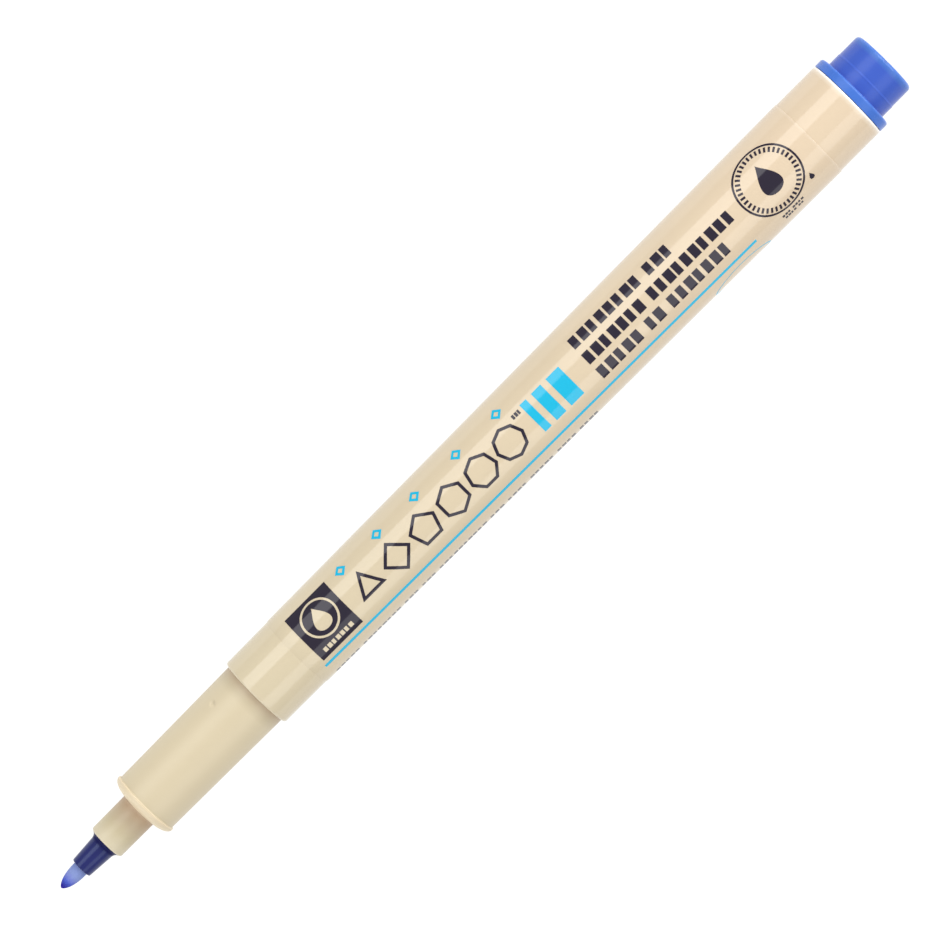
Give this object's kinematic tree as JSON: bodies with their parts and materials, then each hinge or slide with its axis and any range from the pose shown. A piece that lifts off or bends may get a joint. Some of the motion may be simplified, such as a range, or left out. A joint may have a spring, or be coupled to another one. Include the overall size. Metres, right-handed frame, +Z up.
{
  "type": "calligraphy marker",
  "caption": "Slim marker with its cap off: a tapered barrel in a printed film, a stepped grip and nose, a pointed fibre nib in a navy collar, and a blue end plug with a stepped knob.",
  "frame": {"origin": "on the surface the pen lies on, under the middle of its length", "axes": "+X from the nib to the tail along the pen, +Z up, with the print facing up"},
  "size_m": [0.1274, 0.0102, 0.0102],
  "materials": {
    "barrel_plastic": "glossy cream moulding",
    "film": "glossy clear film over cream",
    "grip_plastic": "satin cream moulding",
    "holder_plastic": "navy moulding",
    "nib_fibre": "fine fibre stained violet-blue by ink",
    "wick_fibre": "inked fibre",
    "reservoir_fibre": "inked fibre bundle",
    "wrap": "thin clear wrap",
    "plug_plastic": "bright blue moulding"
  },
  "bodies": {
    "barrel": {"barrel": "barrel_plastic", "printed_film": "film", "ink_reservoir": "reservoir_fibre", "reservoir_wrap": "wrap"},
    "front_section": {"front_section": "grip_plastic", "nib_holder": "holder_plastic", "feed_wick": "wick_fibre"},
    "nib": {"nib": "nib_fibre"},
    "tail_plug": {"tail_plug": "plug_plastic"}
  },
  "joints": [
    {"name": "section_pull", "type": "slide", "parent": "barrel", "child": "front_section", "axis": [-1, 0, 0], "range_m": [0, 0.027]},
    {"name": "nib_pull", "type": "slide", "parent": "front_section", "child": "nib", "axis": [-1, 0, 0], "range_m": [0, 0.0115]},
    {"name": "plug_pull", "type": "slide", "parent": "barrel", "child": "tail_plug", "axis": [1, 0, 0], "range_m": [0, 0.012]}
  ]
}
